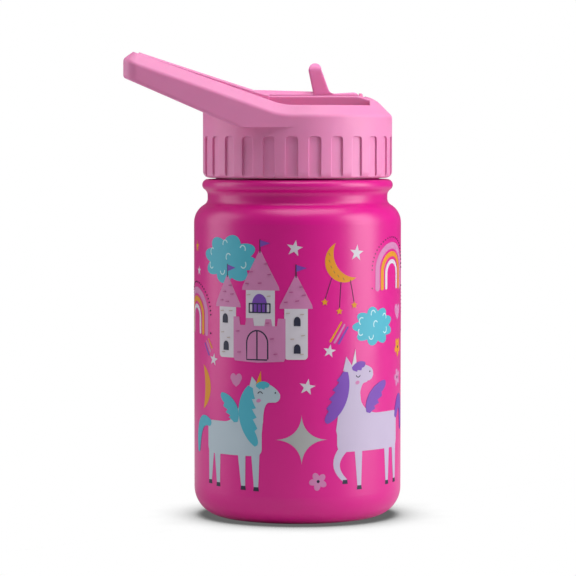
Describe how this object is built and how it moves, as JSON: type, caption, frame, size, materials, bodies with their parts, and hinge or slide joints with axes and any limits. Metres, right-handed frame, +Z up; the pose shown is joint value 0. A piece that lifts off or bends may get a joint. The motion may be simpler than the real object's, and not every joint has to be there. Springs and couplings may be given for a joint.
{
  "type": "insulated water bottle",
  "caption": "Insulated steel bottle for a child, with a screw lid, a slanted carrying loop moulded to the lid and a flip-up straw spout.",
  "frame": {"origin": "on the flask's axis, at the level of the flat ring that it stands on", "axes": "+Z up along the flask's axis; the carrying loop points along -X and the folded spout along +X; XZ is the lid's plane of symmetry"},
  "size_m": [0.0962, 0.073, 0.1626],
  "materials": {
    "powder_coat": "satin magenta powder coat with a printed pattern",
    "bare_steel": "brushed",
    "solder_glass": "glossy",
    "getter_metal": "sintered",
    "lid_plastic": "fine matte",
    "liner_plastic": "smooth moulded",
    "silicone_clear": "translucent silicone",
    "silicone_pink": "soft silicone",
    "straw_plastic": "translucent"
  },
  "bodies": {
    "flask": {"outer_shell": "powder_coat", "inner_liner": "bare_steel", "base_plate": "bare_steel", "vacuum_seal": "solder_glass", "getter_holder": "bare_steel", "getter_pellet": "getter_metal"},
    "gasket": {"lid_gasket": "silicone_clear"},
    "lid": {"lid_shell": "lid_plastic", "thread_liner": "liner_plastic", "seat_seal": "silicone_clear", "vent_valve": "silicone_clear", "straw": "straw_plastic"},
    "spout": {"spout_body": "lid_plastic", "mouthpiece": "silicone_pink"}
  },
  "joints": [
    {"name": "lid_lift", "type": "slide", "parent": "flask", "child": "gasket", "axis": [0, 0, 1], "range_m": [0, 0.004]},
    {"name": "lid_turn", "type": "hinge", "parent": "gasket", "child": "lid", "pos_m": [0, 0, 0.1334], "axis": [0, 0, 1], "range_deg": [0, 360]},
    {"name": "spout_flip", "type": "hinge", "parent": "lid", "child": "spout", "pos_m": [-0.015, 0, 0.14382], "axis": [0, -1, 0], "range_deg": [0, 90]}
  ],
  "couplings": [
    {"joint": "lid_lift", "follows": "lid_turn", "m_per_rad": 0.0006366}
  ]
}
